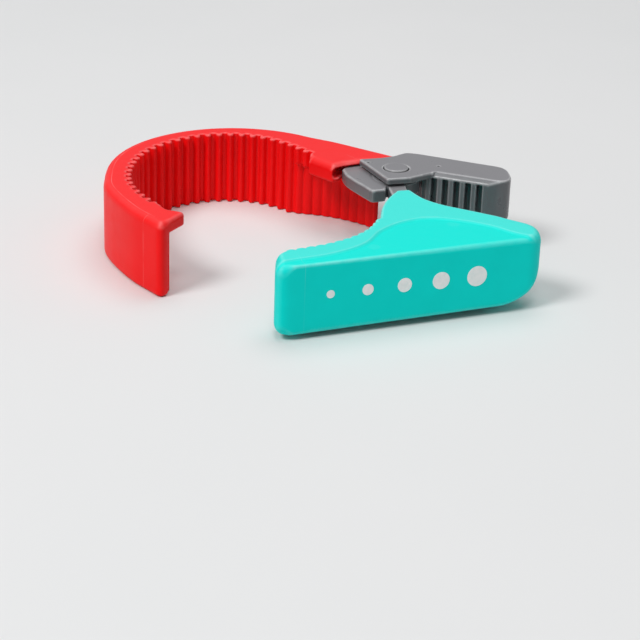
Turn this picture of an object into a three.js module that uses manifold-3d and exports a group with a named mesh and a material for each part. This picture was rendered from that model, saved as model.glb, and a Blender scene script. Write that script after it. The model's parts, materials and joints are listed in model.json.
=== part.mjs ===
// Adjustable jar opener: a toothed hook arm and a hinged handle close on a jar lid from two
// sides, and a small jaw beyond the pivot takes bottle caps. Millimetres, +Z up.
//
// Plan coordinates are measured from the middle of the lid that the tool grips, with the hook
// towards -X, the pivot towards +X and the handle towards -Y. The finished group is then moved
// so that the origin is at the bottom centre of its box.
import * as THREE from 'three';
import { mergeVertices } from 'three/addons/utils/BufferGeometryUtils.js';
import Module from 'manifold-3d';

const wasm = await Module();
wasm.setup();

// Driving dimensions
const ARM_HEIGHT = 25;
const CLEARANCE = 0.3;
const LID_RADIUS = 43.3;
const LID_TOP = 18.8;
const LIP_THICKNESS = 4.3;
const HOOK_TOOTH_PITCH = 4;
const HOOK_TOOTH_PHASE = 0.2;
const HOOK_TOOTH_DEPTH = 1.8;
const HANDLE_TOOTH_PITCH = 3.3;
const HANDLE_TOOTH_DEPTH = 0.9;
const PIVOT = new THREE.Vector2(36, 22);
const PLATE_TOP = 26;
const PLATE_BOTTOM = 23.4;
const KNUCKLE_TOP = 23;
const KNUCKLE_BOTTOM = 18.6;
const KNUCKLE_REACH = 18.6;
const SLOT_RADIUS = 21.2;
const EYE_RADIUS = 8;
const SMALL_JAW_BOTTOM = 11.2;
const SMALL_TOOTH_PITCH = 3.87;
const SMALL_GROOVES = 6;
const SMALL_TOOTH_DEPTH = 2;
const GROOVE_TOP = 23.6;
const PIN_RADIUS = 2.5;
const PIN_HEAD_RADIUS = 4;
const BUSH_RADIUS = 3.4;
const CORE_WIDTH = 2.2;
const ROOF_BOTTOM = 19.3;
const SPINE_BOTTOM = 14.5;
const PANEL_DEPTH = 0.6;
const HANDLE_BOTTOM = 1.45;
const HANDLE_TAPER = 0.011;
const COVER_BOTTOM = 3.4;
const COVER_TOP = 5.2;
const COVER_BOSS_TOP = 6.9;
const COVER_SCREW_BOTTOM = 3.6;
const POST_RADIUS = 3;
const SCREW_RADIUS = 1.4;
const SCREW_HEAD_RADIUS = 2.6;
const SCREW_HEAD_HEIGHT = 1.6;
const ROUND_SIDES = 20;

const COLOURS = {
  red: { color: 0xf2262b, roughness: 0.45, metalness: 0 },
  teal: { color: 0x0cc4b8, roughness: 0.45, metalness: 0 },
  grey: { color: 0x6f7074, roughness: 0.5, metalness: 0 },
  steel: { color: 0xb9bcc0, roughness: 0.3, metalness: 1 },
  acetal: { color: 0xe8e6df, roughness: 0.4, metalness: 0 },
};

// --- Outline helpers: every outline is a list of Vector2 going round anticlockwise

const point = (x, y) => new THREE.Vector2(x, y);

// A curve through a few chosen points, sampled evenly along its length
function smooth(knots, samples) {
  const curve = new THREE.CatmullRomCurve3(knots.map(([x, y]) => new THREE.Vector3(x, y, 0)));
  return curve.getSpacedPoints(samples).map((at) => point(at.x, at.y));
}

function arc(centre, radius, from, to, steps) {
  const points = [];
  for (let i = 0; i <= steps; i += 1) {
    const angle = THREE.MathUtils.degToRad(from + (to - from) * (i / steps));
    points.push(point(centre.x + radius * Math.cos(angle), centre.y + radius * Math.sin(angle)));
  }
  return points;
}

function circle(centre, radius, sides = ROUND_SIDES) {
  return arc(centre, radius, 0, 360, sides).slice(1);
}

// A polygon given as [x, y, corner radius], with each corner replaced by a tangent curve
function rounded(corners, steps = 4) {
  const points = [];
  corners.forEach(([x, y, radius = 0], i) => {
    const before = corners[(i + corners.length - 1) % corners.length];
    const after = corners[(i + 1) % corners.length];
    const corner = point(x, y);
    if (radius === 0) {
      points.push(corner);
      return;
    }
    const back = point(before[0] - x, before[1] - y).normalize();
    const ahead = point(after[0] - x, after[1] - y).normalize();
    const half = Math.acos(THREE.MathUtils.clamp(back.dot(ahead), -1, 1)) / 2;
    const reach = radius / Math.tan(half);
    const start = corner.clone().addScaledVector(back, reach);
    const end = corner.clone().addScaledVector(ahead, reach);
    const bend = new THREE.QuadraticBezierCurve(start, corner, end);
    points.push(...bend.getPoints(steps));
  });
  return points;
}

// How far a tooth stands out at a phase from one tooth to the next: broad teeth with a narrow
// notch between them, or half-round ridges with a groove between them
const broad = (phase) => Math.sqrt(Math.abs(Math.sin(Math.PI * phase)));
const ridged = (phase) => {
  const off = Math.abs(phase - Math.round(phase));
  return Math.sqrt(Math.max(0, 1 - (off / 0.3) ** 2));
};

// Teeth along a line of points, which stand out to the left of the line's way
function toothed(line, pitch, depth, profile = broad, perTooth = 5, phase = 0) {
  const path = new THREE.CatmullRomCurve3(line.map((at) => new THREE.Vector3(at.x, at.y, 0)));
  path.arcLengthDivisions = 800;
  const count = Math.round(path.getLength() / pitch);
  const points = [];
  for (let i = 0; i <= count * perTooth; i += 1) {
    const along = i / (count * perTooth);
    const at = path.getPointAt(along);
    const way = path.getTangentAt(along);
    const rise = depth * profile(i / perTooth + phase);
    points.push(point(at.x - way.y * rise, at.y + way.x * rise));
  }
  return points;
}

// The outline of a strip of even width along a line of points
function ribbon(line, width) {
  const side = (sign) => line.map((at, i) => {
    const before = line[Math.max(i - 1, 0)];
    const after = line[Math.min(i + 1, line.length - 1)];
    const way = after.clone().sub(before).normalize();
    return point(at.x + sign * way.y * (width / 2), at.y - sign * way.x * (width / 2));
  });
  return [...side(1), ...side(-1).reverse()];
}

// An anticlockwise outline moved outwards by a distance
function grown(outline, distance) {
  return outline.map((at, i) => {
    const before = outline[(i + outline.length - 1) % outline.length];
    const after = outline[(i + 1) % outline.length];
    const into = at.clone().sub(before).normalize();
    const out = after.clone().sub(at).normalize();
    const reach = distance / (1 + into.dot(out));
    return point(at.x + (into.y + out.y) * reach, at.y - (into.x + out.x) * reach);
  });
}

// --- Solid helpers

function solid(shapeGeometry) {
  const bare = shapeGeometry.clone();
  bare.deleteAttribute('normal');
  bare.deleteAttribute('uv');
  const merged = mergeVertices(bare, 1e-5);
  return new wasm.Manifold(new wasm.Mesh({
    numProp: 3,
    vertProperties: Float32Array.from(merged.attributes.position.array),
    triVerts: Uint32Array.from(merged.index.array),
  }));
}

// An outline standing from one height to another
function slab(outline, bottom, top) {
  const options = { depth: top - bottom, bevelEnabled: false, curveSegments: 1 };
  const shape = new THREE.Shape(outline);
  return solid(new THREE.ExtrudeGeometry(shape, options).translate(0, 0, bottom));
}

// A turned piece on an upright axis, from [radius, height] pairs going up the outside
function turned(centre, profile, sides = ROUND_SIDES) {
  const outline = profile.map(([radius, height]) => point(radius, height));
  return solid(new THREE.LatheGeometry(outline, sides).rotateX(Math.PI / 2)
    .translate(centre.x, centre.y, 0));
}

const object = new THREE.Group();

function addPiece(name, manifold, colour) {
  const mesh = manifold.getMesh();
  const geometry = new THREE.BufferGeometry();
  geometry.setAttribute('position', new THREE.BufferAttribute(mesh.vertProperties, 3));
  geometry.setIndex(new THREE.BufferAttribute(mesh.triVerts, 1));
  geometry.computeVertexNormals();
  const piece = new THREE.Mesh(geometry, new THREE.MeshStandardMaterial(COLOURS[colour]));
  piece.name = name;
  object.add(piece);
}

// A washer, ring or bush: a hollow turned piece
function ring(centre, inner, outer, bottom, top) {
  return turned(centre, [
    [inner, bottom], [outer, bottom], [outer, top], [inner, top], [inner, bottom],
  ]);
}

// A screw that points up, with its head at the bottom
function screw(at, bottom, length) {
  const underHead = bottom + SCREW_HEAD_HEIGHT;
  return turned(at, [
    [0, bottom], [SCREW_HEAD_RADIUS, bottom], [SCREW_HEAD_RADIUS, underHead],
    [SCREW_RADIUS, underHead], [SCREW_RADIUS, bottom + length], [0, bottom + length],
  ], 14);
}

// --- The lid's space, which cuts the lower part of both arms, with its knurled edge

const lidLine = arc(point(0, 0), LID_RADIUS + HANDLE_TOOTH_DEPTH, 0, 360, 90);
const lidEdge = toothed(lidLine, HANDLE_TOOTH_PITCH, HANDLE_TOOTH_DEPTH, broad, 4).slice(1);
const lidSpace = slab(lidEdge, -1, LID_TOP);

// --- Hook arm: a deep toothed wall with a lip at the tip and a forked tail at the pivot

const HOOK_INNER = [
  [8.5, 37.5], [0, 46.3], [-10, 52.8], [-21, 54.3], [-32, 51.3], [-42, 43.5], [-49.5, 32],
  [-52.4, 17], [-51.3, 4], [-47, -6.5], [-41.2, -15.3],
];
const HOOK_UNDER_LIP = [...HOOK_INNER.slice(-2), [-37.6, -23], [-36.6, -31]];
const HOOK_OUTER_TIP = [[-59.6, 13], [-58.6, 1.5], [-55.5, -7], [-47.5, -21], [-41.5, -28.3]];
const CROWN_CENTRE = point(-16.3, 17);
const CROWN_RADII = point(43.3, 44.6);
const CROWN_START = 1.07;
const TAIL_END = point(36.9, 35.84);
const tailWay = point(-0.848, 0.53);
const tailIn = point(-0.53, -0.848);

// A point in the tail wall: so far along its straight outer face, and so deep behind it
const inTail = (along, deep) => TAIL_END.clone().addScaledVector(tailWay, along)
  .addScaledVector(tailIn, deep);

function crown(inset, from, steps) {
  const { x, y } = CROWN_CENTRE;
  const [wide, high] = [CROWN_RADII.x - inset, CROWN_RADII.y - inset];
  return new THREE.EllipseCurve(x, y, wide, high, from, Math.PI).getPoints(steps);
}

// The middle of the hook's wall, where its stiffening core lies
const MIDDLE_DEPTH = 2.85;
const middleTip = smooth([[-55.8, 14], [-54.7, 2], [-51.6, -7.4], [-45, -18]], 10);
const middle = [
  inTail(27, MIDDLE_DEPTH), inTail(31, MIDDLE_DEPTH), ...crown(3.8, 1.2, 24), ...middleTip,
];

const TAIL_PIN_AT = [12, 20];
const TAIL_PIN_HEIGHT = 13.7;

// A round bar across the tail wall, from one depth behind its outer face to another
function tailBar(along, radius, from, to) {
  const start = inTail(along, from);
  const bar = new THREE.CylinderGeometry(radius, radius, to - from, 14);
  bar.translate(0, (to - from) / 2, 0);
  bar.rotateZ(Math.atan2(tailIn.y, tailIn.x) - Math.PI / 2);
  return solid(bar.translate(start.x, start.y, TAIL_PIN_HEIGHT));
}

function makeHookArm() {
  const hookTeeth = (knots, samples) => toothed(
    smooth(knots, samples), HOOK_TOOTH_PITCH, HOOK_TOOTH_DEPTH, ridged, 5, HOOK_TOOTH_PHASE,
  );
  const teeth = hookTeeth(HOOK_INNER, 60).reverse();
  const tip = rounded([
    [-41.5, -28.3], [-37.2, -33.4, 2.2], [-30.4, -21.2, 1.6], [-36.3, -19.2, 1], [-41.2, -15.3],
  ]).slice(1, -1);
  const tail = rounded([
    [8.5, 37.5], [6.8, 32.6, 1], [15.1, 24.8, 1.2], [18.5, 27.3], [24, 30.3], [24.5, 30.8],
    [31, 32.2], [35, 34.2], [36.9, 35.84],
  ]).slice(1, -1);
  const outer = [TAIL_END, ...crown(0, CROWN_START, 30), ...smooth(HOOK_OUTER_TIP, 12)];
  const wall = slab([...outer, ...tip, ...teeth, ...tail], 0, ARM_HEIGHT);

  const underLip = [...hookTeeth(HOOK_UNDER_LIP, 20), point(-28, -36), point(-28, -4), point(-40, 2)];
  const lipSpace = slab(underLip, -1, ARM_HEIGHT - LIP_THICKNESS);
  const knuckleEdge = circle(PIVOT, KNUCKLE_REACH + 0.6, 48);
  const knuckleSpace = slab(knuckleEdge, KNUCKLE_BOTTOM - CLEARANCE, 23.5);
  const slot = slab(circle(PIVOT, SLOT_RADIUS, 48), 20.2, 23.5);
  const underPivot = slab([
    point(26, 5), point(80, 5), point(80, 60), point(30, 60), point(31, 31.5), point(26, 30),
  ], -1, KNUCKLE_BOTTOM);
  let arm = wall.subtract(lidSpace).subtract(lipSpace).subtract(knuckleSpace).subtract(slot)
    .subtract(underPivot);

  const channel = slab(ribbon(middle, CORE_WIDTH + 2 * CLEARANCE), -1, 20.6);
  const rebate = slab(ribbon(middle, 4.4), -1, 1.8);
  const tongueWay = [inTail(0, MIDDLE_DEPTH), inTail(28, MIDDLE_DEPTH)];
  const tongueSpace = slab(ribbon(tongueWay, CORE_WIDTH + 2 * CLEARANCE), 9, KNUCKLE_BOTTOM);
  arm = arm.subtract(channel).subtract(rebate).subtract(tongueSpace);
  TAIL_PIN_AT.forEach((along) => {
    arm = arm.subtract(tailBar(along, 1.3, -1, 5.1));
  });
  return arm;
}

function makeHookCore() {
  const line = middle.slice(1, -1);
  return slab(ribbon(line, CORE_WIDTH), 3, 20.2);
}

function makeHookCover() {
  const line = middle.slice(1, -1);
  return slab(ribbon(line, 3.8), 0.2, 1.5);
}

// --- Small jaw: a hinge plate over the pivot, a ribbed jaw block and a tongue into the tail

const JAW_FACE = [point(45, 19.9), point(66, 12.7)];
const JAW_END = [[39.6, 37.8, 2.5], [43.5, 37.2, 3], [72.8, 26.2, 6.5], [74.6, 12.2, 6]];
const PINHOLES = [point(26.8, 26.8), point(50.2, 25.3)];

function makeSmallJaw() {
  const plate = slab(rounded([
    [23.6, 29.7, 0.8], [32.9, 11.2, 1], [40.6, 13.4, 1.2], [47.9, 18.9], [66, 12.7],
    ...JAW_END.slice().reverse(), [37.6, 36.2], [35.6, 34.2], [31.3, 32],
  ]), PLATE_BOTTOM, PLATE_TOP);
  const block = slab([
    point(37.6, 36.2), point(36, 34.2), ...arc(PIVOT, EYE_RADIUS + 0.8, 100, -10, 8),
    ...rounded([[45, 19.9], [66, 12.7], ...JAW_END.slice().reverse(), [37.6, 36.2]]).slice(0, -1),
  ], SMALL_JAW_BOTTOM, PLATE_TOP - 0.01);
  const tongueWay = [inTail(-3, MIDDLE_DEPTH), inTail(25.5, MIDDLE_DEPTH)];
  const tongue = slab(ribbon(tongueWay, CORE_WIDTH), SMALL_JAW_BOTTOM, 18);
  let jaw = plate.add(block).add(tongue);

  const faceWay = JAW_FACE[1].clone().sub(JAW_FACE[0]).normalize();
  for (let i = 0; i < SMALL_GROOVES; i += 1) {
    const at = JAW_FACE[0].clone().addScaledVector(faceWay, (i - 0.04) * SMALL_TOOTH_PITCH);
    const groove = new THREE.BoxGeometry(1.9, SMALL_TOOTH_DEPTH * 2, GROOVE_TOP);
    groove.rotateZ(Math.atan2(faceWay.y, faceWay.x));
    groove.translate(at.x, at.y, GROOVE_TOP / 2);
    jaw = jaw.subtract(solid(groove));
  }
  jaw = jaw.subtract(slab(circle(PIVOT, PIN_RADIUS + CLEARANCE), 20, 27));
  jaw = jaw.subtract(slab(circle(PIVOT, PIN_HEAD_RADIUS + CLEARANCE), 24.9, 27));
  PINHOLES.forEach((at) => {
    jaw = jaw.subtract(slab(circle(at, 0.4, 8), PLATE_TOP - 1.6, 27));
  });
  TAIL_PIN_AT.forEach((along) => {
    jaw = jaw.subtract(tailBar(along, 1.3, -1, 8));
  });
  return jaw;
}

// --- Pivot

function makePivotPin() {
  return turned(PIVOT, [
    [0, 18.7], [PIN_RADIUS, 18.7], [PIN_RADIUS, 25.2], [PIN_HEAD_RADIUS, 25.2],
    [PIN_HEAD_RADIUS, 26.5], [0, 26.5],
  ]);
}

// --- Handle: a grey core with the knuckle, inside a hollow handle closed from below

const neck = rounded([
  [33, 24], [33.3, 12, 0.5], [34.7, 4], [36, -4], [38.6, -12, 2], [44, -19, 1.5],
  [48.6, -17, 1.5], [46.2, -8, 3], [41.6, -2], [40, 6], [39.2, 13], [39.4, 24],
]);
const spine = rounded([
  [45.6, -14.6, 1], [42, -22.8, 2], [37, -31.4, 4], [30, -38.2, 4], [17.2, -48.6, 0.8],
  [20.5, -50.4, 0.8], [45, -35.6, 4], [60, -27, 3], [60, -18.2, 3], [49.5, -13.2, 1],
]);
const cavity = rounded([
  [8, -55.9, 1], [62, -34.4, 1.5], [62, -17, 1.5], [50, -11, 1], [45.6, -12.9, 1], [41, -22.1],
  [36, -29.8], [30, -36], [22, -41.4], [15, -47.1], [8, -50.9, 1],
], 3);
const POSTS = [point(13, -51.6), point(35, -43), point(57.2, -32.6)];
const CORE_SCREWS = [point(28, -43.4), point(53, -22.5)];

const SECTOR_EDGE = [[18.2, 27.4], [19.3, 22.8], [21.5, 18.3], [24.7, 13.1], [27.2, 9.1]];

function makeHandleCore() {
  const sector = [
    point(33.2, 14), ...arc(PIVOT, EYE_RADIUS, 240, 129, 6),
    ...arc(PIVOT, KNUCKLE_REACH, 129, 160, 6), ...smooth(SECTOR_EDGE, 12),
    ...rounded([[27.2, 9.1], [28.3, 8, 0.8], [32.4, 9.7]]).slice(1),
  ];
  const eye = slab(circle(PIVOT, EYE_RADIUS, 32), KNUCKLE_BOTTOM, KNUCKLE_TOP);
  let core = eye.add(slab(sector, KNUCKLE_BOTTOM, KNUCKLE_TOP))
    .add(slab(neck, KNUCKLE_BOTTOM + CLEARANCE, KNUCKLE_TOP))
    .add(slab(spine, SPINE_BOTTOM, ROOF_BOTTOM - CLEARANCE));
  core = core.subtract(slab(circle(PIVOT, BUSH_RADIUS + CLEARANCE), 15, 27))
    .subtract(slab(circle(PIVOT, 6), 22.3, 27))
    .subtract(slab(circle(PIVOT, 5.6), 15, 20.4));
  CORE_SCREWS.forEach((at) => {
    core = core.subtract(slab(circle(at, SCREW_RADIUS + CLEARANCE, 14), 10, 30));
  });
  return core.subtract(slab(circle(POSTS[1], POST_RADIUS + CLEARANCE, 16), 10, 30));
}

const HANDLE_JAW = [[30.2, -21], [27, -30], [22, -37], [15, -43], [8, -47], [1.5, -50.3]];
const HANDLE_APEX = [[36, 4], [33, -3], [31, -11], [30.2, -21]];
const HANDLE_BACK = [[70, -17], [60, -12], [50, -7], [44.6, -2.5], [40, 5]];
const PANEL_EDGE = [
  [-1, -59], [3, -56.5], [15, -50.5], [25, -41.5], [30, -30.5], [37, -22.5], [45, -18.5],
  [55, -19.5], [65, -23.5], [72, -28.5], [80, -32],
];

// Seen from the front, the handle's lower edge rises a little from its inner end to its outer
// one, and the lower outer corner is swept up in one large round
const FRONT_LEFT = [-1.3, -62.9];
const FRONT_RIGHT = [80.2, -30.78];
const FRONT_ANGLE = Math.atan2(FRONT_RIGHT[1] - FRONT_LEFT[1], FRONT_RIGHT[0] - FRONT_LEFT[0]);
const HANDLE_START = -23;
const HANDLE_REACH = 66.9;
const END_SWEEP = 16;
const lowerEdge = (along) => HANDLE_BOTTOM + HANDLE_TAPER * (along - HANDLE_START);

function handleElevation() {
  const side = rounded([
    [-80, lowerEdge(-80)], [HANDLE_REACH, lowerEdge(HANDLE_REACH), END_SWEEP],
    [HANDLE_REACH, ARM_HEIGHT + 1], [-80, ARM_HEIGHT + 1],
  ], 10);
  const options = { depth: 200, bevelEnabled: false };
  const upright = new THREE.ExtrudeGeometry(new THREE.Shape(side), options).translate(0, 0, -60);
  return solid(upright.rotateX(Math.PI / 2).rotateZ(FRONT_ANGLE));
}

function makeHandleBody() {
  const jaw = toothed(smooth([...HANDLE_JAW].reverse(), 40), HANDLE_TOOTH_PITCH, HANDLE_TOOTH_DEPTH);
  const ends = rounded([
    [1.5, -50.3], [-1.3, -51.8, 1.5], [...FRONT_LEFT, 3.5], [...FRONT_RIGHT, 6], [79.8, -20, 7.5],
    [70, -17],
  ], 6).slice(1, -1);
  const outline = [
    ...smooth(HANDLE_APEX, 8).slice(0, -1), ...jaw.reverse(), ...ends, ...smooth(HANDLE_BACK, 12),
  ];
  let body = slab(outline, 0, ARM_HEIGHT).subtract(lidSpace);

  const panel = [...smooth(PANEL_EDGE, 30).reverse(), point(-8, -60), point(-8, -72), point(90, -50)];
  body = body.subtract(slab(panel, ARM_HEIGHT - PANEL_DEPTH, 30));
  body = body.subtract(slab(cavity, -1, ROOF_BOTTOM));
  body = body.subtract(slab(grown(cavity, 1.2 + CLEARANCE), -1, COVER_TOP + CLEARANCE));
  POSTS.forEach((at) => {
    const post = slab(circle(at, POST_RADIUS, 16), COVER_BOSS_TOP + CLEARANCE, ROOF_BOTTOM + 1);
    const hole = slab(circle(at, SCREW_RADIUS + CLEARANCE, 14), -1, 15);
    body = body.add(post).subtract(hole);
  });
  body = body.subtract(slab(grown(neck, CLEARANCE), -1, KNUCKLE_TOP + CLEARANCE));
  CORE_SCREWS.forEach((at) => {
    body = body.subtract(slab(circle(at, SCREW_RADIUS + CLEARANCE, 14), 10, 23));
  });
  return body.intersect(handleElevation());
}

function makeHandleCover() {
  const inside = slab(grown(cavity, -CLEARANCE), 0, COVER_BOSS_TOP);
  const headTop = COVER_SCREW_BOTTOM + SCREW_HEAD_HEIGHT + CLEARANCE;
  let cover = slab(grown(cavity, 1.2), COVER_BOTTOM, COVER_TOP);
  POSTS.forEach((at) => {
    cover = cover.add(slab(circle(at, 3.6, 16), COVER_BOTTOM, COVER_BOSS_TOP).intersect(inside));
  });
  POSTS.forEach((at) => {
    cover = cover.subtract(slab(circle(at, SCREW_HEAD_RADIUS + CLEARANCE, 14), 0, headTop))
      .subtract(slab(circle(at, SCREW_RADIUS + CLEARANCE, 14), 0, COVER_BOSS_TOP + 1));
  });
  return cover;
}

// --- The pieces

addPiece('hook_arm', makeHookArm(), 'red');
addPiece('hook_core', makeHookCore(), 'grey');
addPiece('hook_base_cover', makeHookCover(), 'red');
addPiece('small_jaw', makeSmallJaw(), 'grey');
TAIL_PIN_AT.forEach((along, i) => {
  addPiece(`tail_pin_${i + 1}`, tailBar(along, 1, 0.4, 4.8), 'steel');
});
addPiece('pivot_pin', makePivotPin(), 'grey');
addPiece('pivot_washer_upper', ring(PIVOT, 2.8, 5.6, 22.5, 23.1), 'acetal');
addPiece('pivot_washer_lower', ring(PIVOT, 2.8, 5.2, 19.75, 20.2), 'acetal');
addPiece('pivot_retainer', ring(PIVOT, 2.7, 4.6, 18.9, 19.5), 'steel');
addPiece('knuckle_bush', ring(PIVOT, 2.75, BUSH_RADIUS, 20.5, 22.1), 'acetal');
addPiece('handle_core', makeHandleCore(), 'grey');
addPiece('handle_body', makeHandleBody(), 'teal');
addPiece('handle_base_cover', makeHandleCover(), 'teal');
CORE_SCREWS.forEach((at, i) => {
  addPiece(`core_screw_${i + 1}`, screw(at, SPINE_BOTTOM - 2, 10), 'steel');
});
POSTS.forEach((at, i) => {
  addPiece(`cover_screw_${i + 1}`, screw(at, COVER_SCREW_BOTTOM, 10), 'steel');
});

const bounds = new THREE.Box3().setFromObject(object);
const centre = bounds.getCenter(new THREE.Vector3());
object.position.set(-centre.x, -centre.y, -bounds.min.z);

export default object;
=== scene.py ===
"""Looks of the adjustable jar opener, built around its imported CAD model.

The moulded pieces are sculpted as distance fields: a field is negative inside the piece, so that
pieces are joined, cut and rounded by plain arithmetic, and one net of quads is laid on its surface.
Lengths in the fields are millimetres in plan coordinates, measured from the middle of the gripped
lid; they become metres in the CAD frame when a mesh is made.
"""

import json
import math

import bpy
import numpy as np
from mathutils import Matrix, Vector


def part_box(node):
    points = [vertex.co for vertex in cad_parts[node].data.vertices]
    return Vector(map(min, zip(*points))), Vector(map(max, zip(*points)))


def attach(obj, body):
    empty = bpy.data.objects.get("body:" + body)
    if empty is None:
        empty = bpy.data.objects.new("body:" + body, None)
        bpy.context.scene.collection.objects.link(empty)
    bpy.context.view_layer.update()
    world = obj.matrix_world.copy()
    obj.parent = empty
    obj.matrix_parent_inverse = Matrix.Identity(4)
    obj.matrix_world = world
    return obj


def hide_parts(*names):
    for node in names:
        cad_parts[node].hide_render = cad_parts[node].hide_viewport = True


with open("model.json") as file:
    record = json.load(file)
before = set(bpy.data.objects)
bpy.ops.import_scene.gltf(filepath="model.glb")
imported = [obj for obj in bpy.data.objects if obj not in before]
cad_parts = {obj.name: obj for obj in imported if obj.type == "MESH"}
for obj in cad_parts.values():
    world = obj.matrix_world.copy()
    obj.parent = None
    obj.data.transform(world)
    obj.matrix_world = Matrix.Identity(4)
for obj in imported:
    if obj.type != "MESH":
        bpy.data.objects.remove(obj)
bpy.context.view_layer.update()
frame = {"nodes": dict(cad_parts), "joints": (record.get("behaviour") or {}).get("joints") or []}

MM = 0.001
PIVOT = np.array([36.0, 22.0])
hinge = np.array(frame["joints"][0]["pos_m"]) / MM
TO_FRAME = np.array([hinge[0] - PIVOT[0], hinge[1] - PIVOT[1], 0.0])

ARM_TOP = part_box("hook_arm")[1].z / MM
PLATE_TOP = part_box("small_jaw")[1].z / MM
LID_RADIUS = 43.3
LID_TOP = 18.8
LIP_THICKNESS = 4.3
SCREW_HOLE = 1.7
KNUCKLE_REACH = 18.6
SLOT_RADIUS = 21.2
KNUCKLE_TOP = 23.0
KNUCKLE_BOTTOM = 18.6
EYE_RADIUS = 8.0
GAP = 0.3  # between pieces that move on or slide into each other
NO_LINE = 9.0  # a distance at which no mould line is drawn


# --- Camera, lights and floor

def set_camera():
    target = Vector(np.array([12.528, -70.748, 12.0]) + TO_FRAME) * MM
    distance = 583.78 * MM
    elevation, roll = math.radians(24.50), math.radians(-2.004)
    forward = Vector((0, math.cos(elevation), -math.sin(elevation)))
    right, up = Vector((1, 0, 0)), Vector((0, math.sin(elevation), math.cos(elevation)))
    turned_right = right * math.cos(roll) - up * math.sin(roll)
    turned_up = right * math.sin(roll) + up * math.cos(roll)
    camera = bpy.data.objects.new("camera", bpy.data.cameras.new("camera"))
    camera.data.lens = 112.5
    camera.data.sensor_width = 36
    camera.data.clip_start = 0.01
    camera.matrix_world = Matrix.Translation(target - forward * distance) @ Matrix(
        (turned_right, turned_up, -forward)).transposed().to_4x4()
    bpy.context.scene.collection.objects.link(camera)
    bpy.context.scene.camera = camera


def add_light(name, at, size, energy):
    """A round area light that points at the middle of the object's footprint."""
    light = bpy.data.objects.new(name, bpy.data.lights.new(name, "AREA"))
    light.data.shape = "DISK"
    light.data.size = size
    light.data.energy = energy
    light.location = at
    light.rotation_euler = (-Vector(at)).to_track_quat("-Z", "Y").to_euler()
    bpy.context.scene.collection.objects.link(light)


def set_studio():
    scene = bpy.context.scene
    scene.view_settings.view_transform = "Standard"
    world = bpy.data.worlds.new("studio")
    scene.world = world
    world.use_nodes = True
    backdrop = world.node_tree.nodes["Background"]
    backdrop.inputs["Color"].default_value = (0.97, 0.98, 1.0, 1)
    backdrop.inputs["Strength"].default_value = 0.25
    add_light("key", (-1.05, -0.85, 1.65), 0.75, 23.0)
    add_light("top", (0.15, 0.35, 1.50), 1.2, 8.3)
    add_light("front", (0.05, -0.80, 1.65), 0.45, 4.2)


def add_floor():
    mesh = bpy.data.meshes.new("floor")
    half = 6.0
    mesh.from_pydata([(-half, -half, 0), (half, -half, 0), (half, half, 0), (-half, half, 0)],
                     [], [(0, 1, 2, 3)])
    floor = bpy.data.objects.new("floor", mesh)
    bpy.context.scene.collection.objects.link(floor)
    mesh.materials.append(floor_material())


# --- Plan curves: arrays of [x, y] rows

def even(points, count):
    """The line resampled to count + 1 points at even spacing."""
    points = np.asarray(points, float)
    length = np.concatenate([[0], np.cumsum(np.linalg.norm(np.diff(points, axis=0), axis=1))])
    at = np.linspace(0, length[-1], count + 1)
    return np.stack([np.interp(at, length, points[:, k]) for k in (0, 1)], axis=1)


def smooth(knots, count):
    """Evenly spaced points on a centripetal Catmull-Rom curve through the knots."""
    p = np.asarray(knots, float)
    p = np.vstack([2 * p[0] - p[1], p, 2 * p[-1] - p[-2]])
    t = np.linspace(0, 1, 40)[:, None]
    line = []
    for p0, p1, p2, p3 in zip(p, p[1:], p[2:], p[3:]):
        d0, d1, d2 = (math.sqrt(np.linalg.norm(b - a)) for a, b in ((p0, p1), (p1, p2), (p2, p3)))
        m1 = d1 * ((p1 - p0) / d0 - (p2 - p0) / (d0 + d1) + (p2 - p1) / d1)
        m2 = d1 * ((p2 - p1) / d1 - (p3 - p1) / (d1 + d2) + (p3 - p2) / d2)
        line.append(p1 + m1 * t + (3 * (p2 - p1) - 2 * m1 - m2) * t**2
                    + (2 * (p1 - p2) + m1 + m2) * t**3)
    return even(np.vstack(line), count)


def arc(centre, radius, start, end, steps):
    turn = np.radians(np.linspace(start, end, steps + 1))
    return np.stack([centre[0] + radius * np.cos(turn), centre[1] + radius * np.sin(turn)], axis=1)


def rounded(corners, steps=12):
    """A polygon given as (x, y, corner radius), with each corner replaced by a tangent curve."""
    points = []
    for i, corner in enumerate(corners):
        at = np.array(corner[:2], float)
        if len(corner) == 2:
            points.append(at)
            continue
        back = np.array(corners[i - 1][:2]) - at
        ahead = np.array(corners[(i + 1) % len(corners)][:2]) - at
        back, ahead = back / np.linalg.norm(back), ahead / np.linalg.norm(ahead)
        reach = corner[2] / math.tan(math.acos(np.clip(back @ ahead, -1, 1)) / 2)
        for t in np.linspace(0, 1, steps + 1):
            points.append(at + back * reach * (1 - t) ** 2 + ahead * reach * t**2)
    return np.array(points)


def bumps(phase):
    """Broad rounded teeth with a narrow notch between two of them; one for each whole phase."""
    return np.sqrt(np.abs(np.sin(np.pi * phase)))


def ribs(phase):
    """Half-round ridges with a groove between two of them."""
    off = np.abs(phase - np.round(phase))
    return np.sqrt(np.clip(1 - (off / 0.3) ** 2, 0, 1))


def toothed(line, pitch, depth, shape, phase=0.0, per_tooth=20):
    """Teeth that stand out to the left of a line."""
    length = np.linalg.norm(np.diff(line, axis=0), axis=1).sum()
    count = round(length / pitch)
    points = even(line, count * per_tooth)
    way = np.gradient(points, axis=0)
    way /= np.linalg.norm(way, axis=1)[:, None]
    rise = depth * shape(np.arange(len(points)) / per_tooth + phase)
    return points + np.stack([-way[:, 1], way[:, 0]], axis=1) * rise[:, None]


# --- Distance fields

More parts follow.
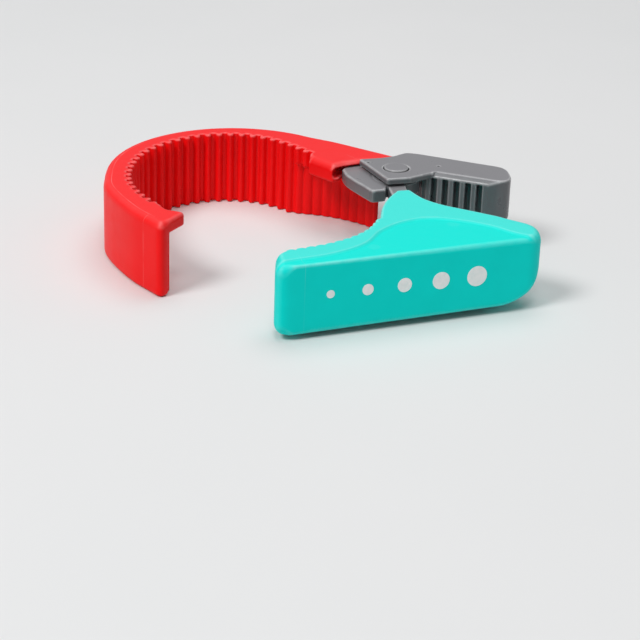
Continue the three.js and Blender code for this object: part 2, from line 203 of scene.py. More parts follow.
def line_distance(line, x, y):
    """Distance from each point of the grid to a line of points."""
    nearest = np.full(x.shape, np.inf)
    for a, b in zip(line, line[1:]):
        way = b - a
        span = way @ way
        if span == 0:
            continue
        t = np.clip(((x - a[0]) * way[0] + (y - a[1]) * way[1]) / span, 0, 1)
        nearest = np.minimum(nearest, (x - a[0] - t * way[0]) ** 2 + (y - a[1] - t * way[1]) ** 2)
    return np.sqrt(nearest)


def outline_distance(outline, x, y):
    """Signed distance to a closed outline: negative inside it."""
    closed = np.vstack([outline, outline[:1]])
    inside = np.zeros(x.shape, bool)
    for a, b in zip(closed, closed[1:]):
        if a[1] != b[1]:
            crosses = (a[1] > y) != (b[1] > y)
            inside ^= crosses & (x < a[0] + (y - a[1]) * (b[0] - a[0]) / (b[1] - a[1]))
    return np.where(inside, -1, 1) * line_distance(closed, x, y)


def circle_distance(centre, radius, x, y):
    return np.hypot(x - centre[0], y - centre[1]) - radius


def meet(a, b, radius=0.0):
    """What is inside both fields, with the new edge rounded."""
    both = np.maximum(a, b)
    u, v = np.maximum(a + radius, 0), np.maximum(b + radius, 0)
    return np.minimum(both, -radius) + np.hypot(u, v) if np.any(radius) else both


def cut(a, b, radius=0.0):
    return meet(a, -b, radius)


def join(a, b, radius=0.0):
    """What is inside either field, with the inner corner filled to a radius."""
    return -meet(-a, -b, radius)


def between(flat, z, bottom, top, low_round=0.0, top_round=0.0):
    """A flat field standing from one height to another."""
    return meet(meet(flat, z - top, top_round), bottom - z, low_round)


def blend(a, b, t):
    t = np.clip(t, 0, 1)
    return a + (b - a) * t * t * (3 - 2 * t)


# --- From fields to meshes

CORNERS = [np.array([i, j, k]) for i in (0, 1) for j in (0, 1) for k in (0, 1)]


def lay_net(values):
    """One point in each cell that the surface crosses, and a quad round each crossed grid edge."""
    inside = values < 0
    size = np.array(values.shape) - 1
    held = sum(inside[tuple(slice(c[k], c[k] + size[k]) for k in range(3))].astype(np.int8)
               for c in CORNERS)
    cells = np.argwhere((held > 0) & (held < 8))
    place, hits = np.zeros((len(cells), 3)), np.zeros(len(cells))
    for start in CORNERS:
        for axis in np.flatnonzero(start == 0):
            step = np.eye(3, dtype=int)[axis]
            a = values[tuple((cells + start).T)]
            b = values[tuple((cells + start + step).T)]
            crossed = (a < 0) != (b < 0)
            t = np.where(crossed, a / np.where(crossed, a - b, 1), 0)
            place += crossed[:, None] * (start + t[:, None] * step)
            hits += crossed
    number = np.full(size, -1)
    number[tuple(cells.T)] = np.arange(len(cells))
    quads = []
    for axis in range(3):
        one, b, c = (np.eye(3, dtype=int)[(axis + k) % 3] for k in range(3))
        lower = inside[tuple(slice(0, s) if o else slice(1, s) for o, s in zip(one, size))]
        upper = inside[tuple(slice(1, s + 1) if o else slice(1, s) for o, s in zip(one, size))]
        at = np.argwhere(lower != upper)
        outward = lower[tuple(at.T)]
        at = at + (1 - one)
        ring = np.stack([number[tuple((at - back).T)] for back in (b + c, c, 0 * c, b)], axis=1)
        quads.append(np.where(outward[:, None], ring, ring[:, ::-1]))
    return cells + place / hits[:, None], np.vstack(quads)


def sample(values, place):
    """The field's value at places given in cells, between its grid points."""
    base = np.clip(np.floor(place).astype(int), 0, np.array(values.shape) - 2)
    part = place - base
    total = np.zeros(len(place))
    for corner in CORNERS:
        weight = np.prod(np.where(corner, part, 1 - part), axis=1)
        total += weight * values[tuple((base + corner).T)]
    return total


def new_piece(name, points, quads, material, body, nodes):
    """A mesh from points in plan millimetres, which rides on a body and replaces CAD nodes."""
    mesh = bpy.data.meshes.new(name)
    mesh.vertices.add(len(points))
    mesh.vertices.foreach_set("co", ((points + TO_FRAME) * MM).astype(np.float32).ravel())
    mesh.loops.add(quads.size)
    mesh.loops.foreach_set("vertex_index", quads.astype(np.int32).ravel())
    mesh.polygons.add(len(quads))
    starts = np.arange(0, quads.size, quads.shape[1], dtype=np.int32)
    mesh.polygons.foreach_set("loop_start", starts)
    mesh.update(calc_edges=True)
    mesh.shade_smooth()
    normals = np.zeros((len(points), 3), np.float32)
    mesh.vertex_normals.foreach_get("vector", normals.ravel())
    mesh.materials.append(material)
    piece = bpy.data.objects.new(name, mesh)
    bpy.context.scene.collection.objects.link(piece)
    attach(piece, body)
    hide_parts(*nodes)
    # How far each point faces up; the material paints a lighter top, a painted sheen, from it.
    set_attribute(piece, "upward", normals[:, 2])
    return piece


def sculpt(name, low, high, cell, shape, material, body, slot, nodes, lines=None):
    """The surface of a field. shape(x, y, z) gives the field, and lines(x, y) the flat distances
    that the material draws its fine mould lines from."""
    axes = [np.arange(a - 2.2 * cell, b + 3 * cell, cell) for a, b in zip(low, high)]
    x, y, z = axes[0][:, None, None], axes[1][None, :, None], axes[2][None, None, :]
    x, y = np.broadcast_arrays(x, y)
    values = shape(x, y, z)
    place, quads = lay_net(values)
    # edge: how convex the surface is at each point; the material paints a highlight on convex edges
    # and shade in hollows from it.
    reach = 2
    inner = (slice(reach, -reach),) * 3
    near = sum(np.roll(values, shift, axis) for axis in range(3) for shift in (-reach, reach))
    edge = np.zeros(values.shape)
    edge[inner] = (near[inner] / 6 - values[inner]) / (reach * cell)
    start = np.array([a[0] for a in axes])
    piece = new_piece(name, start + place * cell, quads, material, body, nodes)
    set_attribute(piece, "edge", sample(edge, place))
    if lines:
        for line_name, flat in lines(x, y).items():
            set_attribute(piece, line_name, sample(np.repeat(flat, 2, axis=2), place * (1, 1, 0)))
    return piece


def set_attribute(piece, name, values):
    attribute = piece.data.attributes.new(name, "FLOAT", "POINT")
    attribute.data.foreach_set("value", values.astype(np.float32))


def lathe(name, centre, profile, material, body, nodes, sides=72):
    """A turned piece on an upright axis, from (radius, height) pairs that close on themselves or
    start and end on the axis."""
    profile = np.array(profile, float)
    turn = np.linspace(0, 2 * math.pi, sides, endpoint=False)
    rings = [np.stack([centre[0] + r * np.cos(turn), centre[1] + r * np.sin(turn),
                       np.full(sides, h)], axis=1) for r, h in profile]
    points, count = np.vstack(rings), len(profile)
    this = np.arange(sides)
    after = (this + 1) % sides
    quads = [np.stack([i * sides + this, i * sides + after, j * sides + after, j * sides + this],
                      axis=1) for i, j in zip(range(count), [*range(1, count), 0])]
    if profile[0, 0] == 0:
        quads = quads[:-1]
    piece = new_piece(name, points, np.vstack(quads), material, body, nodes)
    upward = np.empty(len(points), np.float32)
    piece.data.attributes["upward"].data.foreach_get("value", upward)
    # Sloping rims get an edge value, so the material paints a highlight on them.
    set_attribute(piece, "edge", np.where((upward > 0.2) & (upward < 0.96), 0.2, 0.0))
    tidy_mesh(piece)
    return piece


def tidy_mesh(piece):
    """Merges doubled points and rounds the sharp edges a little."""
    weld = piece.modifiers.new("weld", "WELD")
    weld.merge_threshold = 2e-6
    bevel = piece.modifiers.new("bevel", "BEVEL")
    bevel.width = 0.12 * MM
    bevel.segments = 2
    bevel.limit_method = "ANGLE"
    bevel.angle_limit = math.radians(40)
    piece.modifiers.new("normals", "WEIGHTED_NORMAL")


# --- Materials

class Nodes:
    """A material's node tree, with short calls for the nodes used here."""

    def __init__(self, name):
        self.material = bpy.data.materials.new(name)
        self.material.use_nodes = True
        self.tree = self.material.node_tree
        self.shader = self.tree.nodes["Principled BSDF"]
        self.place = self.add("ShaderNodeTexCoord").outputs["Object"]

    def add(self, kind, **settings):
        node = self.tree.nodes.new(kind)
        for key, value in settings.items():
            setattr(node, key, value)
        return node

    def link(self, out, into):
        self.tree.links.new(out, into)
        return into.node

    def noise(self, scale, detail=3.0, roughness=0.5):
        node = self.add("ShaderNodeTexNoise")
        node.inputs["Scale"].default_value = scale
        node.inputs["Detail"].default_value = detail
        node.inputs["Roughness"].default_value = roughness
        self.link(self.place, node.inputs["Vector"])
        return node.outputs["Fac"]

    def attribute(self, name):
        return self.add("ShaderNodeAttribute", attribute_name=name).outputs["Fac"]

    def spread(self, value, low, high, to_low=0.0, to_high=1.0):
        node = self.add("ShaderNodeMapRange")
        self.link(value, node.inputs["Value"])
        limits = {"From Min": low, "From Max": high, "To Min": to_low, "To Max": to_high}
        for key, number in limits.items():
            node.inputs[key].default_value = number
        return node.outputs["Result"]

    def math(self, operation, a, b=0.0):
        node = self.add("ShaderNodeMath", operation=operation)
        for socket, value in zip(node.inputs, (a, b)):
            if isinstance(value, float):
                socket.default_value = value
            else:
                self.link(value, socket)
        return node.outputs["Value"]

    def times(self, a, b):
        return self.math("MULTIPLY", a, b)

    def plus(self, a, b):
        return self.math("ADD", a, b)

    def tint(self, factor, a, b):
        """From colour a to colour b as the factor goes from 0 to 1."""
        node = self.add("ShaderNodeMix", data_type="RGBA")
        self.link(factor, node.inputs["Factor"])
        colours = [s for s in node.inputs if s.type == "RGBA"]
        for socket, value in zip(colours, (a, b)):
            if isinstance(value, tuple):
                socket.default_value = (*value, 1)
            else:
                self.link(value, socket)
        return next(s for s in node.outputs if s.type == "RGBA")

    def bump(self, height, strength, distance):
        node = self.add("ShaderNodeBump")
        node.inputs["Strength"].default_value = strength
        node.inputs["Distance"].default_value = distance
        self.link(height, node.inputs["Height"])
        return node.outputs["Normal"]

    def wire(self, colour, roughness, normal):
        self.link(colour, self.shader.inputs["Base Color"])
        self.link(roughness, self.shader.inputs["Roughness"])
        self.link(normal, self.shader.inputs["Normal"])


def scaled(colour, factor):
    return tuple(min(c * factor, 1.0) for c in colour)


def paler(colour, share):
    return tuple(c + (1 - c) * share for c in colour)


def moulded_plastic(name, colour, rough, shine=0.2, top=None, panel=None, edge_highlight=0.16,
                    side_highlight=1.0, line_strengths=None):
    """Satin moulded plastic: faint flow mottling, a fine spark-eroded grain, a painted highlight on
    rounded convex edges, painted shade in grooves, and pale hairlines where the piece carries
    their distances: mould lines, and a painted highlight along a crease where a piece has one.
    The faces that point up get a lighter colour, a painted sheen of the light from above, and the
    panel set into them a weaker painted sheen. On upright edges the painted highlight is scaled
    down by its own factor."""
    n = Nodes(name)
    tone = n.tint(n.spread(n.noise(90.0, 4.0), 0.35, 0.65), scaled(colour, 0.965), colour)
    facing = n.attribute("upward")
    upward = n.spread(facing, 0.55, 0.95)
    # Faces that point up take the top colour: a painted sheen of the light from above.
    if top:
        tone = n.tint(upward, tone, top)
    # The panel's upward faces take a weaker painted sheen than the rim round them.
    if panel:
        inset = n.spread(n.attribute("panel"), 0.2, 1.2)
        tone = n.tint(n.times(upward, inset), tone, panel)
    edge = n.attribute("edge")
    # Painted shade: hollows and grooves are darkened.
    groove_shade = n.spread(edge, -0.35, -0.08, 1.0, 0.0)
    tone = n.tint(n.times(groove_shade, 0.5), tone, scaled(colour, 0.45))
    patchy = n.spread(n.noise(420.0), 0.3, 0.6, 0.6, 1.0)
    # Painted highlight on convex rounded edges, broken up by noise; upright edges get less of it.
    highlit_edge = n.times(n.spread(edge, 0.04, 0.18), n.spread(facing, 0.05, 0.4, side_highlight, 1.0))
    edge_highlight_mask = n.times(highlit_edge, patchy)
    tone = n.tint(n.times(edge_highlight_mask, edge_highlight), tone, paler(top or colour, 0.55))
    for line_name, strength in (line_strengths or {}).items():
        off = n.math("ABSOLUTE", n.attribute(line_name))
        hair = n.times(n.spread(off, 0.05, 0.16, 1.0, 0.0), n.spread(n.noise(150.0), 0.3, 0.6))
        tone = n.tint(n.times(hair, strength), tone, paler(colour, 0.6))
    roughness = n.plus(n.spread(n.noise(260.0, 3.0), 0.3, 0.7, rough - 0.03, rough + 0.04),
                       n.times(edge_highlight_mask, -0.06))
    n.wire(tone, roughness, n.bump(n.noise(2600.0, 2.0, 0.6), 0.16, 0.00002))
    n.shader.inputs["Specular IOR Level"].default_value = shine
    return n.material


def metal(name, colour, rough):
    """Zinc-plated steel with fine turning marks and dull patches."""
    n = Nodes(name)
    patches = n.spread(n.noise(500.0, 4.0), 0.3, 0.7)
    tone = n.tint(patches, scaled(colour, 0.8), colour)
    roughness = n.spread(n.noise(900.0, 4.0), 0.3, 0.7, rough - 0.06, rough + 0.12)
    n.wire(tone, roughness, n.bump(n.noise(4000.0, 2.0), 0.25, 0.00002))
    n.shader.inputs["Metallic"].default_value = 1.0
    return n.material


def print_ink(name):
    """White pad-print ink, with the slight unevenness of a rubber stamp."""
    n = Nodes(name)
    thin = n.spread(n.noise(700.0, 4.0), 0.25, 0.7)
    tone = n.tint(thin, (0.82, 0.88, 0.87), (0.95, 0.95, 0.94))
    roughness = n.spread(n.noise(1200.0), 0.3, 0.7, 0.42, 0.58)
    n.wire(tone, roughness, n.bump(n.noise(3000.0), 0.2, 0.00002))
    return n.material


def floor_material():
    n = Nodes("floor_paper")
    tone = n.tint(n.spread(n.noise(6.0, 3.0), 0.3, 0.7), (0.755, 0.76, 0.76), (0.77, 0.77, 0.77))
    n.wire(tone, n.spread(n.noise(30.0), 0.3, 0.7, 0.75, 0.9), n.bump(n.noise(900.0), 0.05, 0.0001))
    n.shader.inputs["Specular IOR Level"].default_value = 0.2
    return n.material


# --- The hook arm's plan

HOOK_INNER = [
    [8.5, 37.5], [0, 46.3], [-10, 52.8], [-21, 54.3], [-32, 51.3], [-42, 43.5], [-49.5, 32],
    [-52.4, 17], [-51.3, 4], [-47, -6.5], [-41.2, -15.3],
]
HOOK_UNDER_LIP = [*HOOK_INNER[-2:], [-37.6, -23], [-36.6, -31]]
HOOK_OUTER_TIP = [[-59.6, 13], [-58.6, 1.5], [-55.5, -7], [-47.5, -21], [-41.5, -28.3]]
CROWN_CENTRE = (-16.3, 17)
CROWN_RADII = (43.3, 44.6)
CROWN_START = 1.07
HOOK_TEETH = (4.0, 1.9, ribs, 0.2)
TAIL_END = np.array([36.9, 35.84])
TAIL_WAY = np.array([-0.848, 0.53])
TAIL_IN = np.array([-0.53, -0.848])
MIDDLE_DEPTH = 2.85
MIDDLE_TIP = [[-55.8, 14], [-54.7, 2], [-51.6, -7.4], [-45, -18]]
TAIL_PIN_AT = [12, 20]
TAIL_PIN_HEIGHT = 13.7
TAIL_PIN_HOLE = 1.3
CORE_CHANNEL, CORE_CHANNEL_TOP = 1.4, 20.6
COVER_REBATE, COVER_REBATE_TOP = 2.2, 1.8
SLOT_BOTTOM, SLOT_TOP = 20.2, 23.5


def crown(inset, start, steps):
    turn = np.linspace(start, math.pi, steps + 1)
    return np.stack([CROWN_CENTRE[0] + (CROWN_RADII[0] - inset) * np.cos(turn),
                     CROWN_CENTRE[1] + (CROWN_RADII[1] - inset) * np.sin(turn)], axis=1)


def in_tail(along, deep):
    return TAIL_END + TAIL_WAY * along + TAIL_IN * deep


def hook_outer():
    return np.vstack([TAIL_END, crown(0, CROWN_START, 120), smooth(HOOK_OUTER_TIP, 50)])


def hook_outline():
    teeth = toothed(smooth(HOOK_INNER, 400), *HOOK_TEETH)[::-1]
    tip = rounded([
        [-41.5, -28.3], [-37.2, -33.4, 2.2], [-30.4, -21.2, 1.6], [-36.3, -19.2, 1], [-41.2, -15.3],
    ])[1:-1]
    tail = rounded([
        [8.5, 37.5], [6.8, 32.6, 1], [15.1, 24.8, 1.2], [18.5, 27.3], [24, 30.3], [24.5, 30.8],
        [31, 32.2], [35, 34.2], [36.9, 35.84],
    ])[1:-1]
    return np.vstack([hook_outer(), tip, teeth, tail])


def lid_space(x, y, z):
    """The gripped lid's space, with small teeth round its edge."""
    pitch, depth = 3.3, 0.9
    count = round(2 * math.pi * LID_RADIUS / pitch)
    edge = LID_RADIUS + depth * (1 - bumps(np.arctan2(y, x) / (2 * math.pi) * count))
    return meet(np.hypot(x, y) - edge, z - LID_TOP, 0.6)


def tail_bar(along, radius, start, end, x, y, z):
    """A round bar across the tail wall, between two depths behind its outer face."""
    at = in_tail(along, 0)
    across = (x - at[0]) * TAIL_WAY[0] + (y - at[1]) * TAIL_WAY[1]
    deep = (x - at[0]) * TAIL_IN[0] + (y - at[1]) * TAIL_IN[1]
    return meet(meet(np.hypot(across, z - TAIL_PIN_HEIGHT) - radius, deep - end), start - deep)


def hook_field(x, y, z):
    flat = outline_distance(hook_outline(), x, y)
    from_teeth = line_distance(smooth(HOOK_INNER, 120), x, y)
    from_tail = line_distance(np.array([in_tail(-4, 0), in_tail(20, 0)]), x, y)
    from_lip = line_distance(np.array([[-38.5, -18], [-31, -21], [-33.5, -26.5]]), x, y)
    outer = blend(1.0, 2.5, (from_tail - 3) / 14)
    top = blend(0.45, outer, (from_teeth - 2.2) / 2.8)
    top = np.minimum(top, blend(1.3, 2.5, (from_lip - 1.5) / 4))
    bottom = blend(0.5, 1.5, (from_teeth - 2.2) / 2.8)
    arm = between(flat, z, 0, ARM_TOP, bottom, top)

    arm = cut(arm, lid_space(x, y, z), 0.5)
    lip_edge = toothed(smooth(HOOK_UNDER_LIP, 120), *HOOK_TEETH)
    under_lip = outline_distance(np.vstack([lip_edge, [[-28, -36], [-28, -4], [-40, 2]]]), x, y)
    arm = cut(arm, meet(under_lip, z - (ARM_TOP - LIP_THICKNESS), 0.8), 0.5)
    knuckle = circle_distance(PIVOT, KNUCKLE_REACH + 0.6, x, y)
    arm = cut(arm, between(knuckle, z, KNUCKLE_BOTTOM - GAP, SLOT_TOP, 0.4, 0.4), 0.4)
    slot = circle_distance(PIVOT, SLOT_RADIUS, x, y)
    arm = cut(arm, between(slot, z, SLOT_BOTTOM, SLOT_TOP, 1.2, 1.2), 0.4)
    under_pivot = np.array([[26, 5], [80, 5], [80, 60], [30, 60], [31, 31.5], [26, 30]])
    arm = cut(arm, meet(outline_distance(under_pivot, x, y), z - KNUCKLE_BOTTOM), 0.4)

    middle = np.vstack([in_tail(27, MIDDLE_DEPTH), crown(3.8, 1.2, 60), smooth(MIDDLE_TIP, 30)])
    from_middle = line_distance(middle, x, y)
    tongue = line_distance(np.array([in_tail(0, MIDDLE_DEPTH), in_tail(28, MIDDLE_DEPTH)]), x, y)
    arm = cut(arm, meet(from_middle - CORE_CHANNEL, z - CORE_CHANNEL_TOP))
    arm = cut(arm, meet(from_middle - COVER_REBATE, z - COVER_REBATE_TOP))
    arm = cut(arm, between(tongue - CORE_CHANNEL, z, 9, KNUCKLE_BOTTOM))
    for along in TAIL_PIN_AT:
        arm = cut(arm, tail_bar(along, TAIL_PIN_HOLE, -1, 5.1, x, y, z), 0.3)
    return arm


def hook_lines(x, y):
    """Parting line along the top's outer edge, a knit line near the tip, and one by the pivot."""
    from_outer = line_distance(hook_outer(), x, y)
    on_left = (x < -22) & (y > -27)
    knit_at, knit_way = np.array([-43.7, -26.4]), np.array([0.60, -0.80])
    knit = (x - knit_at[0]) * knit_way[0] + (y - knit_at[1]) * knit_way[1]
    near_knit = (from_outer < 2.6) & (x < -37) & (y < -15)
    weld_from, weld_to = np.array([19.2, 36.6]), np.array([23.2, 31.7])
    way = (weld_to - weld_from) / np.linalg.norm(weld_to - weld_from)
    along = (x - weld_from[0]) * way[0] + (y - weld_from[1]) * way[1]
    off = (x - weld_from[0]) * way[1] - (y - weld_from[1]) * way[0]
    on_weld = (along > 0) & (along < np.linalg.norm(weld_to - weld_from))
    return {
        "line_a": np.where(on_left, from_outer - 2.55, NO_LINE),
        "line_b": np.where(near_knit, knit, np.where(on_weld, off, NO_LINE)),
    }


# --- The small jaw's plan

JAW_FACE = np.array([[45, 19.9], [66, 12.7]])
JAW_END = [[74.6, 12.2, 6], [72.8, 26.2, 6.5], [43.5, 37.2, 3], [39.6, 37.8, 2.5]]
JAW_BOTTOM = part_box("small_jaw")[0].z / MM
JAW_TOOTH_PITCH = 3.87
JAW_GROOVES = 6
JAW_CHAMFER = 1.6
JAW_GROOVE_HALF_WIDTH, JAW_GROOVE_DEPTH, JAW_GROOVE_TOP = 1.0, 3, 24.2
PLATE_BOTTOM = 23.9
TONGUE_HALF_WIDTH, TONGUE_TOP = 1.1, 18
PIN_HOLE = 2.8
HEAD_RECESS, HEAD_SEAT = 4.3, 24.9
PINHOLES = [(26.8, 26.8), (50.2, 25.3)]


def jaw_field(x, y, z):
    plate = outline_distance(rounded([
        [23.6, 29.7, 0.8], [32.9, 11.2, 1.0], [40.6, 13.4, 1.2], [47.9, 18.9, 1.0], [66, 12.7],
        *JAW_END, [37.6, 36.2], [35.6, 34.2], [31.3, 32],
    ]), x, y)
    block = outline_distance(np.vstack([
        [[37.6, 36.2], [36, 34.2]], arc(PIVOT, EYE_RADIUS + 0.8, 100, -10, 40),
        rounded([[45, 19.9], [66, 12.7], *JAW_END, [37.6, 36.2]])[:-1],
    ]), x, y)
    from_face = line_distance(np.array([[47.9, 18.9], [66, 12.7]]), x, y)
    top_round = blend(1.5, 0.7, (from_face - 1.6) / 3)
    way = (JAW_FACE[1] - JAW_FACE[0]) / np.linalg.norm(JAW_FACE[1] - JAW_FACE[0])
    along = (x - JAW_FACE[0][0]) * way[0] + (y - JAW_FACE[0][1]) * way[1]
    deep = -(x - JAW_FACE[0][0]) * way[1] + (y - JAW_FACE[0][1]) * way[0]
    body = between(block, z, JAW_BOTTOM, PLATE_TOP, 1.4, top_round)
    for i in range(JAW_GROOVES):
        off = np.abs(along - (i - 0.04) * JAW_TOOTH_PITCH) - JAW_GROOVE_HALF_WIDTH
        groove = meet(meet(off, deep - JAW_GROOVE_DEPTH, 0.6), z - JAW_GROOVE_TOP, 0.6)
        body = cut(body, groove, 0.3)
    body = join(body, between(plate, z, PLATE_BOTTOM, PLATE_TOP, 0.35, np.minimum(top_round, 0.9)))
    chamfer = (JAW_CHAMFER - deep - (PLATE_TOP - z)) / math.sqrt(2)
    body = meet(body, chamfer - blend(20, 0, (along - 1.5) / 2), 0.35)
    tongue = line_distance(np.array([in_tail(-3, MIDDLE_DEPTH), in_tail(25.5, MIDDLE_DEPTH)]), x, y)
    body = join(body, between(tongue - TONGUE_HALF_WIDTH, z, JAW_BOTTOM, TONGUE_TOP, 0.3, 0.3))
    pin = circle_distance(PIVOT, PIN_HOLE, x, y)
    head = circle_distance(PIVOT, HEAD_RECESS, x, y)
    body = cut(body, meet(pin, 20 - z))
    body = cut(body, meet(head, HEAD_SEAT - z), 0.25)
    for at in PINHOLES:
        body = cut(body, meet(circle_distance(at, 0.45, x, y), PLATE_TOP - 1.6 - z), 0.15)
    for at in TAIL_PIN_AT:
        body = cut(body, tail_bar(at, TAIL_PIN_HOLE, -1, 8, x, y, z))
    return body


# --- The handle's plan

FRONT_LEFT, FRONT_RIGHT = np.array([-1.3, -62.9]), np.array([80.2, -30.78])
FRONT_WAY = (FRONT_RIGHT - FRONT_LEFT) / np.linalg.norm(FRONT_RIGHT - FRONT_LEFT)
HANDLE_APEX = [[36, 4], [33, -3], [31, -11], [30.2, -21]]
HANDLE_JAW = [[30.2, -21], [27, -30], [22, -37], [15, -43], [8, -47], [1.5, -50.3]]
HANDLE_ENDS = [
    [1.5, -50.3], [-1.3, -51.8, 2.5], [*FRONT_LEFT, 3.5], [*FRONT_RIGHT, 6], [79.8, -20, 7.5],
    [70, -17],
]
HANDLE_BACK = [[70, -17], [60, -12], [50, -7], [44.6, -2.5], [40, 5]]
PANEL_EDGE = [
    [-1, -59], [3, -56.5], [15, -50.5], [25, -41.5], [30, -30.5], [37, -22.5], [45, -18.5],
    [55, -19.5], [65, -23.5], [72, -28.5], [80, -32],
]
HANDLE_TEETH = (3.3, 0.9, bumps)
HANDLE_START, HANDLE_REACH = -24, 66.9
HANDLE_BOTTOM, HANDLE_TAPER = 1.45, 0.011
END_SWEEP = 17
NECK = [
    [33, 24], [33.3, 12, 0.5], [34.7, 4], [36, -4], [38.6, -12, 2], [44, -19, 1.5],
    [48.6, -17, 1.5], [46.2, -8, 3], [41.6, -2], [40, 6], [39.2, 13], [39.4, 24],
]
SPINE = [
    [45.6, -14.6, 1], [42, -22.8, 2], [37, -31.4, 4], [30, -38.2, 4], [17.2, -48.6, 0.8],
    [20.5, -50.4, 0.8], [45, -35.6, 4], [60, -27, 3], [60, -18.2, 3], [49.5, -13.2, 1],
]
CAVITY = [
    [8, -55.9, 1], [62, -34.4, 1.5], [62, -17, 1.5], [50, -11, 1], [45.6, -12.9, 1], [41, -22.1],
    [36, -29.8], [30, -36], [22, -41.4], [15, -47.1], [8, -50.9, 1],
]
POSTS = [(13, -51.6), (35, -43), (57.2, -32.6)]
CORE_SCREWS = [(28, -43.4), (53, -22.5)]
ROOF_BOTTOM = 19.3
SPINE_BOTTOM = 14.5
COVER_BOTTOM, COVER_TOP, COVER_BOSS_TOP, COVER_SCREW_BOTTOM = 3.4, 5.2, 6.9, 3.6
PANEL_DROP, PANEL_SLOPE = 0.6, 1.3
POST_RADIUS, POST_HOLE_TOP = 3, 15
CORE_HOLE_BOTTOM, CORE_HOLE_TOP = 10, 23
COVER_REACH, COVER_SEAT = 1.2, 1.5
COVER_BOSS_RADIUS, COVER_HEAD_RECESS = 3.6, 2.9


def panel_distance(x, y):
    """Signed distance to the edge of the panel that is set into the handle's top."""
    line = smooth(PANEL_EDGE, 160)
    return outline_distance(np.vstack([line[::-1], [[-8, -60], [-8, -72], [90, -50]]]), x, y)


def handle_outline():
    jaw = toothed(smooth(HANDLE_JAW[::-1], 200), *HANDLE_TEETH)[::-1]
    ends = rounded(HANDLE_ENDS, 16)[1:-1]
    return np.vstack([smooth(HANDLE_APEX, 40)[:-1], jaw, ends, smooth(HANDLE_BACK, 60)])


def handle_field(x, y, z):
    flat = outline_distance(handle_outline(), x, y)
    top = ARM_TOP - blend(0, PANEL_DROP, -panel_distance(x, y) / PANEL_SLOPE)
    along = x * FRONT_WAY[0] + y * FRONT_WAY[1]
    from_front = (y - FRONT_LEFT[1]) * FRONT_WAY[0] - (x - FRONT_LEFT[0]) * FRONT_WAY[1]
    front_round = blend(0.8, 1.8, (along - HANDLE_START) / (HANDLE_REACH - HANDLE_START))
    top_round = blend(front_round, 0.55, (from_front - 3) / 4)
    end_round = blend(0.55, 3.2, (along - 56) / 8)
    inner_end = blend(3.6, 0.5, (along - HANDLE_START - 2.5) / 5)
    end_round = np.maximum(end_round, inner_end)
    body = meet(flat, z - top, np.maximum(top_round, end_round))
    low = HANDLE_BOTTOM + HANDLE_TAPER * (along - HANDLE_START)
    body = meet(body, meet(along - HANDLE_REACH, low - z, END_SWEEP), np.maximum(1.6, inner_end))

    body = cut(body, lid_space(x, y, z), 0.4)
    cavity = outline_distance(rounded(CAVITY), x, y)
    body = cut(body, meet(cavity, z - ROOF_BOTTOM, 0.8))
    body = cut(body, meet(cavity - COVER_SEAT, z - COVER_TOP - GAP), 0.3)
    for at in POSTS:
        post = circle_distance(at, POST_RADIUS, x, y)
        body = join(body, between(post, z, COVER_BOSS_TOP + GAP, ROOF_BOTTOM + 1, 0.3), 0.5)
        body = cut(body, meet(circle_distance(at, SCREW_HOLE, x, y), z - POST_HOLE_TOP))
    body = cut(body, meet(outline_distance(rounded(NECK), x, y) - GAP, z - KNUCKLE_TOP - GAP), 0.3)
    for at in CORE_SCREWS:
        hole = circle_distance(at, SCREW_HOLE, x, y)
        body = cut(body, between(hole, z, CORE_HOLE_BOTTOM, CORE_HOLE_TOP))
    return body


def handle_lines(x, y):
    """A painted highlight along the faint crease down from the apex, and a parting line near the
    inner end.
    """
    crease = smooth([[36.2, 2.5], [38.5, -4], [42.5, -11.5]], 30)
    start = np.array([8.6, -61.4])
    end_line = (x - start[0]) * FRONT_WAY[0] + (y - start[1]) * FRONT_WAY[1]
    return {
        "line_a": line_distance(crease, x, y),
        "line_b": np.where(y < -50, end_line, NO_LINE),
        # panel: depth into the sunken panel; the material paints its top with a weaker painted
        # sheen.
        "panel": -panel_distance(x, y),
    }


def cover_field(x, y, z):
    cavity = outline_distance(rounded(CAVITY), x, y)
    cover = between(cavity - COVER_REACH, z, COVER_BOTTOM, COVER_TOP, 0.35, 0.2)
    for at in POSTS:
        boss = meet(circle_distance(at, COVER_BOSS_RADIUS, x, y), cavity + GAP)
        cover = join(cover, between(boss, z, COVER_BOTTOM + 0.5, COVER_BOSS_TOP, 0, 0.3), 0.4)
    for at in POSTS:
        head = circle_distance(at, COVER_HEAD_RECESS, x, y)
        cover = cut(cover, meet(head, z - (COVER_SCREW_BOTTOM + 1.9)), 0.35)
        cover = cut(cover, circle_distance(at, SCREW_HOLE, x, y))
    rim = np.abs(cavity + 2.2) - 0.35
    return cut(cover, meet(rim, z - (COVER_BOTTOM + 0.3)), 0.15)


SECTOR_EDGE = [[18.2, 27.4], [19.3, 22.8], [21.5, 18.3], [24.7, 13.1], [27.2, 9.1]]
BUSH_HOLE = 3.7
UPPER_WASHER_RECESS, UPPER_WASHER_SEAT = 6, 22.3
LOWER_WASHER_RECESS, LOWER_WASHER_SEAT = 5.6, 20.4


